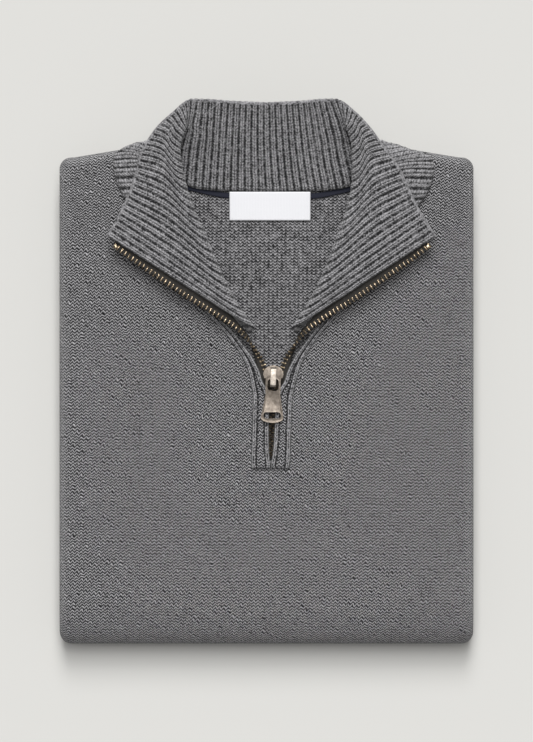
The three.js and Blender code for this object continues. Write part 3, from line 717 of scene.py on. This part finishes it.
def through(points, shares):
    """Points at shares of the way along smooth lines through the points given."""
    n = points.shape[-2] - 1
    at = np.clip(np.asarray(shares, float) * n, 0, n - 1e-9)
    i = at.astype(int)
    t = (at - i)[:, None]
    before = 2 * points[..., :1, :] - points[..., 1:2, :]
    after = 2 * points[..., -1:, :] - points[..., -2:-1, :]
    points = np.concatenate([before, points, after], axis=-2)
    p0, p1, p2, p3 = (points[..., i + k, :] for k in range(4))

    def span(a, b):
        return np.sqrt(np.linalg.norm(a - b, axis=-1, keepdims=True))

    d0, d1, d2 = span(p0, p1), span(p1, p2), span(p2, p3)
    a = ((p1 - p0) / d0 - (p2 - p0) / (d0 + d1) + (p2 - p1) / d1) * d1
    b = ((p2 - p1) / d1 - (p3 - p1) / (d1 + d2) + (p3 - p2) / d2) * d1
    from_point = (2 * t**3 - 3 * t**2 + 1) * p1 + (t**3 - 2 * t**2 + t) * a
    to_point = (3 * t**2 - 2 * t**3) * p2 + (t**3 - t**2) * b
    return from_point + to_point


print("rib 30 from seam to edge:", np.round(rib_line(np.array([30.0]))[0, [0, -1]], 1).tolist())

# %% [markdown]
# A rib knit is a thin sheet that is pleated like a paper fan, so a crest on one face is a hollow on the
# other. The sheet's points move out and in along its normals, six to a rib, and Solidify then gives both
# faces their ribs at once. The outer face has its own material, in which the crests lie half a rib on.

# %% Knit the collar
LAST_RIB = 38.5
RIB_STEPS = 6
COLLAR_FACE = 1.25
RIB_SWING = 0.26

ribs = np.linspace(-LAST_RIB, LAST_RIB, int(2 * LAST_RIB * RIB_STEPS) + 1)
stretches = [np.linspace(0, 0.3, 14), np.linspace(0.3, 0.62, 24)[1:], np.linspace(0.62, 1, 22)[1:]]
shares = np.concatenate(stretches)
sheet = raised(through(rib_line(ribs), shares))


def sheet_normals(points):
    across = np.gradient(points, axis=0)
    along = np.gradient(points, axis=1)
    normal = np.cross(across, along)
    return normal / np.maximum(np.linalg.norm(normal, axis=-1, keepdims=True), 1e-9)


normals = sheet_normals(sheet)
fade = smooth(0, 0.05, shares) * (1 - smooth(0.95, 1, shares))
swing = np.cos(2 * np.pi * ribs)[:, None] * fade[None, :]
swing = np.sign(swing) * np.abs(swing) ** 0.8
collar_points = sheet + normals * (COLLAR_FACE + RIB_SWING * (swing - 0.2))[..., None]
rise = lengths_along(sheet, 1) / 1000
collar_map = np.stack(np.broadcast_arrays(ribs[:, None], rise - rise[:, -1:]), axis=-1)

bm = bmesh.new()
lay_grid(bm, in_frame(collar_points), collar_map)
collar_cloth = thicken(finish_piece("collar_cloth", bm, rib_inside), WALL["collar"])
collar_cloth.data.materials.append(rib_outside)
collar_cloth.modifiers["wall"].material_offset = 1
on_sweater(collar_cloth, "rib_knit", "collar")
collar_width = lengths_along(sheet, 0)[-1].mean() / 1000
collar_rise = rise[:, -1].mean()
print("collar strip:", round(collar_width, 3), "by", round(collar_rise, 3), "m")

# %% [markdown]
# ## The placket
#
# A band of the same jersey is sewn round the zip. A single column of stitches stands up along its inner edge
# and another along its outer one. It is laid as two strips, one on each side, whose height across comes from
# those two ridges. Below the zip the strips meet.

# %% Lay the placket
PLACKET = {
    "y": [-70, -67, -64.5, -58, -40, -19, -14, -8, 0.2, 10, 19, 27, 36, 44],
    "inner": [0.1, 0.1, 0.5, 1.3, 2.0, 2.3, 4, 7.6, 10.3, 15.5, 22, 28, 36.5, 45],
    "outer": [13.6, 13.8, 14, 14, 14, 14.2, 15, 16.4, 18.4, 22.6, 28.4, 34.4, 42.5, 49.5],
}
PLACKET_FACE = 37.9
ys = np.concatenate([np.linspace(-70, -58, 14), np.linspace(-58, 44, 100)[1:]])
inner = between_rows(PLACKET["y"], PLACKET["inner"], ys)
outer = between_rows(PLACKET["y"], PLACKET["outer"], ys)
shares = np.linspace(0, 1, 29)


def placket_height(from_inner, from_outer, from_foot):
    """Height over the band at distances from its two long edges and its foot."""
    inner_ridge = 1.0 * np.exp(-(((from_inner - 1.6) / 1.1) ** 2))
    outer_ridge = 0.8 * np.exp(-(((from_outer - 1.5) / 1.1) ** 2))
    rounding = 1.2 * (1 - smooth(0, 0.9, np.minimum(np.minimum(from_inner, from_outer), from_foot)))
    return inner_ridge + outer_ridge - rounding


def seam_column(distance):
    """How far a point belongs to the raised column along an edge, and how high the knit is in it."""
    away = (distance - 0.0016).size()
    belongs = 1 - away.above(0.0022, 0.0029)
    line = 1 - ((away - 0.0007).size() / 0.0008).at_most(1)
    return belongs, line * 0.42 + 0.30


def placket_knit(finish):
    """Plain knit, with a raised column of stitches and its furrows along both edges."""
    from_inner, from_outer = finish.pattern("edges")
    height = plain_knit(finish)
    for distance in (from_inner, from_outer):
        belongs, column = seam_column(distance)
        height = height * (1 - belongs) + (column + (height - 0.5) * 0.25) * belongs
    return height


# painted light: through the wool's painted relief shading, the edge columns are painted lighter and their
# furrows darker
placket_wool = wool("placket_wool", placket_knit, tone=0.175, painted_relief_shading=2.5, grain=2.4)

bm = bmesh.new()
for side in (-1, 1):
    width = (outer - inner)[None, :]
    from_inner = shares[:, None] * width
    far = inner[None, :] + from_inner
    x = middle(ys)[None, :] + side * far
    y = np.broadcast_to(ys[None, :], x.shape)
    z = PLACKET_FACE + placket_height(from_inner, width - from_inner, y + 70.4)
    points = raised(np.stack([x, y, z], axis=-1))
    along = lengths_along(points, 1)
    pattern = np.stack([from_inner - 0.2, along], axis=-1) / 1000
    edges = np.stack([from_inner, width - from_inner], axis=-1) / 1000
    if side < 0:
        points, pattern, edges = points[::-1], pattern[::-1], edges[::-1]
    index = lay_grid(bm, in_frame(points), pattern)
    layer = bm.loops.layers.uv.get("edges") or bm.loops.layers.uv.new("edges")
    for face in {face for vert in index for face in vert.link_faces}:
        for loop in face.loops:
            loop[layer].uv = edges[index[loop.vert]]
placket_cloth = thicken(finish_piece("placket_cloth", bm, placket_wool), WALL["placket"])
on_sweater(placket_cloth, "jersey", "placket")
print("placket faces:", len(placket_cloth.data.polygons))

# %% [markdown]
# ## The zip
#
# A zip half is a woven tape with a corded edge, and the metal teeth are clamped over that cord. The line of
# the cord runs straight up the closed zip, parts at the slider, twists over and follows the wing's lower
# edge. A table gives that line, which way the teeth point, and how much tape shows.

# %% Follow the zip's line
ZIP = {
    "across": [1.3, 1.3, 1.3, 2.4, 5, 7.4, 11, 15.5, 20.5, 27, 41, 57.5, 76, 95.7, 113.6],
    "y": [-63, -40, -16, -8, -1, 6, 12.5, 19, 25.3, 31.5, 40.8, 51, 63.4, 77, 90.4],
    "z": [35.5, 35.5, 35.5, 35.5, 35.6, 36.1, 37.6, 40.4, 43.3, 45.9, 46.8, 47.4, 47.7, 47.6, 47.3],
    "facing": [0, 0, 0, 0, 0, 10, 45, 90, 130, 165, 180, 182, 182, 182, 182],
    "tape": [7.5, 7.5, 7.5, 7.5, 6, 5, 4, 3.8, 3.2, 3.6, 8, 8.5, 8.5, 8, 6],
}
ZIP_ROWS = np.arange(len(ZIP["y"]))


def cord_point(side, row):
    across, y, z = (between_rows(ZIP_ROWS, ZIP[k], row) for k in ("across", "y", "z"))
    return np.stack([middle(y) + side * across, y, z], axis=-1)


def cord_frame(side, row):
    """A point of the cord, with unit vectors along it, the way the teeth point, and square to both."""
    ahead = cord_point(side, np.minimum(row + 0.05, ZIP_ROWS[-1]))
    behind = cord_point(side, np.maximum(row - 0.05, 0))
    along = (ahead - behind) / np.linalg.norm(ahead - behind)
    out = np.array([side * along[1], -side * along[0], 0])
    out = out / np.linalg.norm(out)
    turn = math.radians(float(between_rows(ZIP_ROWS, ZIP["facing"], row)))
    teeth = -math.cos(turn) * out + math.sin(turn) * np.array([0, 0, 1])
    teeth = teeth - along * teeth.dot(along)
    teeth = teeth / np.linalg.norm(teeth)
    return cord_point(side, row), along, teeth, np.cross(teeth, along) * side


def rows_at_steps(side, step, first=0.0):
    """Places along the table, so that points are one step apart over the cord."""
    fine = np.linspace(0, ZIP_ROWS[-1], 2000)
    run = lengths_along(cord_point(side, fine), 0)
    return np.interp(np.arange(first, run[-1], step), run, fine)


TOOTH_STEP = 3.2
print("teeth on one side:", len(rows_at_steps(1, TOOTH_STEP)))

# %% [markdown]
# The tape is a plain weave of dark polyester. It is laid as a grid whose height swells over the cord at its
# edge.

# %% Weave the tapes
def weave(finish, threads):
    u, v = finish.pattern()
    warp = (u * threads * FULL_TURN).sine()
    weft = (v * threads * FULL_TURN).sine()
    return 0.5 + 0.5 * warp * weft


def tape_material():
    finish = Finish("tape_weave")
    threads = weave(finish, 1400)
    dust = finish.mottle(500)
    share = clamp(threads * 0.5 + (dust - 0.4) * 0.6)
    colour = finish.blend((0.010, 0.009, 0.008, 1), (0.070, 0.062, 0.053, 1), share)
    normal = finish.bump(threads, 0.0002)
    return finish.surface({"Base Color": colour, "Normal": normal, "Roughness": 0.8})


tape_weave = tape_material()


TAPE_STEP = 1.5


def lay_tape(name, side, node):
    places = rows_at_steps(side, TAPE_STEP)
    shares = np.array([0, 0.25, 0.5, 0.7, 0.82, 0.88, 0.93, 0.97, 1])
    grid, pattern = [], []
    for k, row in enumerate(places):
        point, along, teeth, up = cord_frame(side, row)
        tape = float(between_rows(ZIP_ROWS, ZIP["tape"], row))
        reach = -tape + shares * (tape + 0.65)
        swell = 0.42 + 0.42 * np.exp(-(((reach + 0.3) / 0.55) ** 2))
        grid.append(point + reach[:, None] * teeth + swell[:, None] * up)
        pattern.append(np.stack([reach, np.full_like(reach, k * TAPE_STEP)], axis=-1))
    points = raised(np.array(grid)).transpose(1, 0, 2)
    bm = bmesh.new()
    lay_grid(bm, in_frame(points), np.array(pattern).transpose(1, 0, 2) / 1000)
    if side < 0:
        bmesh.ops.reverse_faces(bm, faces=bm.faces[:])
    made = thicken(finish_piece(name, bm, tape_weave), WALL["tape"])
    on_sweater(made, "zip_tape", node)
    return made


tapes = [lay_tape("tape_left", -1, "zip_tape_left"), lay_tape("tape_right", 1, "zip_tape_right")]
for tape in tapes:
    facing = sum(face.normal.z * face.area for face in tape.data.polygons)
    print(tape.name, "faces", len(tape.data.polygons), "upward area", round(facing * 1e6))

# %% [markdown]
# ## Teeth
#
# Each tooth is a small brass bar, clamped over the cord by a slightly wider foot. There are about 130, so one
# tooth is two bevelled blocks with few faces. The right row is half a step ahead of the left one, and so the
# two mesh where the zip is closed. A thicker stop ends each row at the tip of the wing.

# %% Clamp the teeth on
TOOTH_PARTS = {
    "width": [1.2, 1.7],
    "start": [-1.6, -2.1],
    "end": [1.75, -0.9],
    "thick": [1.7, 2.1],
}


def metal(name, dark, light, polish, patina=0.5):
    """Worn cast metal; patina is how much of it is dark."""
    finish = Finish(name)
    grain = finish.mottle(2600, detail=2.0)
    wear = finish.mottle(420, detail=3.0)
    share = clamp((grain * 0.35 + wear * 0.65 - patina + 0.5).above(0.25, 0.8))
    colour = finish.blend(dark, light, share)
    roughness = polish + (1 - share) * 0.2
    normal = finish.bump(grain, 0.00005)
    return finish.surface({"Base Color": colour, "Metallic": 1.0, "Roughness": roughness, "Normal": normal})


def tooth_metal():
    """Brass with random bright wear, painted dark as shade in the closed chain below the slider."""
    finish = Finish("tooth_brass")
    wear = finish.mottle(900, detail=3.0)
    _, y = finish.first_two(finish.place())
    # painted shade: 1 where the chain is open, 0.12 in the closed chain below the slider
    painted_chain_shade = y.above(-0.016, -0.002) * 0.88 + 0.12
    share = clamp(wear.above(0.3, 0.65) * painted_chain_shade)
    colour = finish.blend((0.013, 0.010, 0.007, 1), (0.62, 0.49, 0.34, 1), share)
    return finish.surface({"Base Color": colour, "Metallic": 1.0, "Roughness": 0.42 - share * 0.14})


tooth_brass = tooth_metal()


def lay_teeth(name, side):
    bm = bmesh.new()
    for row in rows_at_steps(side, TOOTH_STEP, first=1.0 if side < 0 else 1.0 + TOOTH_STEP / 2):
        point, along, teeth, up = cord_frame(side, row)
        turn = Matrix([along, teeth, up]).transposed().to_4x4()
        point = raised(point)
        for width, start, end, thick in zip(*TOOTH_PARTS.values()):
            outward = Matrix.Translation((0, (start + end) / 2000, 0))
            place = Matrix.Translation(in_frame(point)) @ turn @ outward
            size = Matrix.Diagonal((width / 1000, (end - start) / 1000, thick / 1000, 1))
            bmesh.ops.create_cube(bm, size=1, matrix=place @ size)
    point, along, teeth, up = cord_frame(side, ZIP_ROWS[-1] - 0.08)
    turn = Matrix([along, teeth, up]).transposed().to_4x4()
    stop = Matrix.Translation(in_frame(raised(point))) @ turn @ Matrix.Diagonal((0.0027, 0.0030, 0.0022, 1))
    bmesh.ops.create_cube(bm, size=1, matrix=stop)
    bmesh.ops.bevel(
        bm, geom=bm.edges[:], offset=0.00042, segments=2, profile=0.5, affect="EDGES", material=-1
    )
    bmesh.ops.recalc_face_normals(bm, faces=bm.faces)
    return on_sweater(finish_piece(name, bm, tooth_brass), "zip_metal")


rows_of_teeth = [lay_teeth("teeth_left", -1), lay_teeth("teeth_right", 1)]
print("tooth faces:", [len(row.data.polygons) for row in rows_of_teeth])

# %% [markdown]
# ## Slider and pull tab
#
# The CAD model has their true shape, but with sharp edges, and a cast slider has none. A copy of each mesh is
# merged, its flat faces are joined, and every sharp edge gets a small round. Each face then gets one of three
# metals: old nickel on the flats, a lighter one as painted highlight on the bail's back and the tab's sloping
# rims, and a nearly black one as painted shade on faces turned from the top and in the hollow under the ring.

# %% Round the slider and the tab
def rounded_copy(name, node, body, radius, finish_of, rim=0.0, cut_y=None):
    bm = bmesh.new()
    bm.from_mesh(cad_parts[node].data)
    bmesh.ops.remove_doubles(bm, verts=bm.verts, dist=1e-6)
    bmesh.ops.dissolve_limit(bm, angle_limit=math.radians(2), verts=bm.verts, edges=bm.edges)
    if cut_y is not None:
        everything = bm.verts[:] + bm.edges[:] + bm.faces[:]
        bmesh.ops.bisect_plane(bm, geom=everything, plane_co=(0, cut_y, 0), plane_no=(0, 1, 0))
    if rim:
        top = [face for face in bm.faces if face.normal.z > 0.98]
        bmesh.ops.inset_region(bm, faces=top, thickness=rim, depth=-rim / 4, use_even_offset=True)
    sharp = [e for e in bm.edges if len(e.link_faces) == 2 and e.calc_face_angle() > math.radians(35)]
    bmesh.ops.bevel(
        bm,
        geom=sharp,
        offset=radius,
        segments=3,
        profile=0.5,
        affect="EDGES",
        material=-1,
        clamp_overlap=True,
    )
    for face in bm.faces:
        face.material_index = finish_of(face.calc_center_median(), face.normal.z)
    made = finish_piece(name, bm, metals[0])
    for extra in metals[1:]:
        made.data.materials.append(extra)
    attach(made, body)
    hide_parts(node)
    return made


# the three metals: plain old nickel, a lighter one for painted highlight, a nearly black one for painted
# shade
metals = [
    metal("old_nickel", (0.135, 0.114, 0.095, 1), (0.310, 0.267, 0.226, 1), 0.34),
    metal("painted_highlight_nickel", (0.300, 0.262, 0.224, 1), (0.520, 0.470, 0.410, 1), 0.26),
    metal("painted_shade_nickel", (0.010, 0.009, 0.007, 1), (0.060, 0.050, 0.041, 1), 0.45),
]
PLATE, PAINTED_HIGHLIGHT, PAINTED_SHADE = range(3)
HOLLOW_Y = -0.0047
BAIL_TOP = 0.0435


def slider_finish(place, up):
    """The bail's back gets a painted highlight; faces turned from the top and the hollow under the tab's ring
    get painted shade.
    """
    if up > 0.5 and place.z > BAIL_TOP:
        return PAINTED_HIGHLIGHT
    if up < 0.35 or place.y < HOLLOW_Y:
        return PAINTED_SHADE
    return PLATE


def tab_finish(place, up):
    # painted shade on the tab's walls, painted highlight on its sloping rims and rounds, plain metal on its
    # flats
    if up < 0.3:
        return PAINTED_SHADE
    return PAINTED_HIGHLIGHT if up < 0.93 else PLATE


slider = rounded_copy("slider_body", "zip_slider", "sweater", 0.00028, slider_finish, cut_y=HOLLOW_Y)
tab = rounded_copy("tab_plate", "pull_tab", "pull_tab", 0.00026, tab_finish, rim=0.0008)
print("slider and tab faces:", len(slider.data.polygons), len(tab.data.polygons))

# %% [markdown]
# ## Neck tape and label
#
# A narrow dark blue tape covers the seam at the back of the neck. The label is white woven satin with nothing
# on it, laid flat with its upper edge caught under the collar.

# %% Sew on the neck tape
NECK_TAPE = {"x": [-57.3, -27.1, 2.5, 32, 62.2], "y": [131.8, 125.9, 124.9, 125.5, 131]}
xs = np.linspace(-57.3, 62.2, 140)
shares = np.linspace(-1, 1, 7)
y = between_rows(NECK_TAPE["x"], NECK_TAPE["y"], xs)[:, None] + 0.5 + 2.0 * shares[None, :]
x = np.broadcast_to(xs[:, None], y.shape)
z = BACK_TOP + 1.25 - 0.35 * shares[None, :] ** 4 + 0 * x
bm = bmesh.new()
lay_grid(bm, in_frame(raised(np.stack([x, y, z], axis=-1))), np.stack([x, y], axis=-1) / 1000)


def neck_tape_material():
    finish = Finish("neck_tape_weave")
    threads = weave(finish, 900)
    colour = finish.blend((0.004, 0.005, 0.011, 1), (0.016, 0.019, 0.040, 1), threads)
    normal = finish.bump(threads, 0.0003)
    return finish.surface({"Base Color": colour, "Normal": normal, "Roughness": 0.75})


neck_tape = thicken(finish_piece("neck_tape_cloth", bm, neck_tape_material()), WALL["tape"])
on_sweater(neck_tape, "neck_tape", "neck_tape")

# %% Sew on the label
LABEL = {"x": 2.5, "y": 118.7, "width": 58.3, "height": 20.5, "tilt": 11.5}
shares_x = np.linspace(-0.5, 0.5, 60)
shares_y = np.linspace(-0.5, 0.5, 24)
x = np.broadcast_to(LABEL["x"] + shares_x[:, None] * LABEL["width"], (60, 24))
y = np.broadcast_to(LABEL["y"] + shares_y[None, :] * LABEL["height"], (60, 24))
climb = (shares_y[None, :] + 0.5) * LABEL["height"] * math.tan(math.radians(LABEL["tilt"]))
ends = 0.25 * (2 * np.abs(shares_x[:, None])) ** 12
z = BACK_TOP + 1.2 + climb - ends
bm = bmesh.new()
lay_grid(bm, in_frame(raised(np.stack([x, y, z], axis=-1))), np.stack([x, y], axis=-1) / 1000)


def satin():
    finish = Finish("label_satin")
    u, v = finish.pattern()
    threads = (v * 2600 * FULL_TURN).sine() * 0.5 + (u * 900 * FULL_TURN).sine() * 0.2 + 0.5
    colour = finish.blend((0.86, 0.86, 0.89, 1), (0.94, 0.94, 0.965, 1), clamp(threads))
    normal = finish.bump(threads, 0.00006)
    return finish.surface({"Base Color": colour, "Normal": normal, "Roughness": 0.55})


label = thicken(finish_piece("label_cloth", bm, satin()), WALL["label"])
on_sweater(label, "label", "label")
print("label and neck tape are sewn on")

# %% [markdown]
# ## The table
#
# The table is a plain pale plane, far wider than the picture, and isn't part of the object.

# %% Put the table under it
bm = bmesh.new()
bmesh.ops.create_grid(bm, x_segments=1, y_segments=1, size=6)
finish = Finish("table_paper")
paper = finish.surface({"Base Color": TABLE_TONE, "Roughness": 0.9, "Specular IOR Level": 0.1})
table = finish_piece("table", bm, paper)
print("table tone:", TABLE_TONE[:3])
